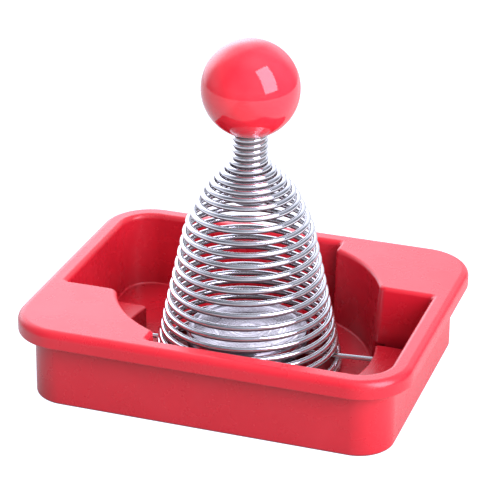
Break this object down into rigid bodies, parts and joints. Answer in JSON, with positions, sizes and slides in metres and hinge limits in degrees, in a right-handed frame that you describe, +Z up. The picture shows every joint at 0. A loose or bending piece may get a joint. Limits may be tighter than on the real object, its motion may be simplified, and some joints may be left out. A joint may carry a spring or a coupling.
{
  "type": "spring nutcracker with catch tray",
  "caption": "Weighted ball knob on a bell-shaped wire spring over a steel anvil, held by a cross pin in a rectangular moulded tray that catches the shells.",
  "frame": {"origin": "centre of the tray's underside, on the table", "axes": "+X along the tray's long side, +Y along its short side away from the user, +Z up along the spring's axis"},
  "size_m": [0.165, 0.1316, 0.144],
  "materials": {
    "tray_red": "gloss, moulded",
    "knob_red": "high gloss",
    "spring_chrome": "plated wire",
    "pin_chrome": "plated wire",
    "anvil_steel": "brushed",
    "core_steel": "turned",
    "striker_steel": "turned"
  },
  "bodies": {
    "tray_body": {"tray": "tray_red"},
    "tower": {"anvil": "anvil_steel", "cross_pin": "pin_chrome", "spring": "spring_chrome"},
    "knob": {"knob_shell": "knob_red", "knob_core": "core_steel", "striker": "striker_steel"}
  },
  "joints": [
    {"name": "tower_twist", "type": "hinge", "parent": "tray_body", "child": "tower", "pos_m": [0, 0, 0.0022], "axis": [0, 0, 1], "range_deg": [0, 11.5]},
    {"name": "knob_slide", "type": "slide", "parent": "tower", "child": "knob", "axis": [0, 0, 1], "range_m": [-0.038, 0.045], "stiffness_N_per_m": 180, "springref_m": 0.01117, "deforming": ["spring"]}
  ]
}
